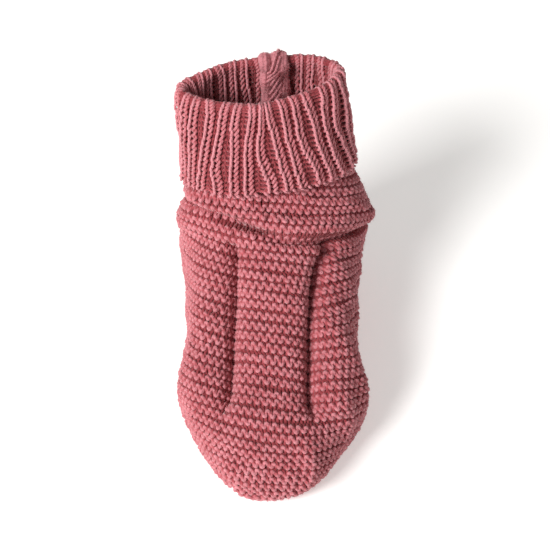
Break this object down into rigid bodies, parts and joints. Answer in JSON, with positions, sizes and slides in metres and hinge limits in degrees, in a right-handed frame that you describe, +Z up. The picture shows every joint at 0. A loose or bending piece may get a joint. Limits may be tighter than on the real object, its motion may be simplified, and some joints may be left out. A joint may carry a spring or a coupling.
{
  "type": "knit slipper",
  "caption": "Small child's hand-knitted wool slipper: garter-stitch foot with a pleated instep, flat knitted sole and a turned-down rib cuff.",
  "frame": {"origin": "middle of the slipper's footprint box, on the floor under the sole", "axes": "+Z up, toe towards -Y, heel towards +Y, across the foot along X"},
  "size_m": [0.0764, 0.133, 0.1065],
  "materials": {
    "garter_wool": "matt dusty rose wool in garter stitch",
    "sole_wool": "matt dusty rose wool in garter stitch",
    "rib_wool": "matt dusty rose wool in single rib",
    "seam_wool": "brushed dusty rose wool, sewn"
  },
  "bodies": {
    "root": {"upper": "garter_wool", "sole": "sole_wool", "cuff": "rib_wool", "back_seam": "seam_wool"}
  },
  "joints": []
}
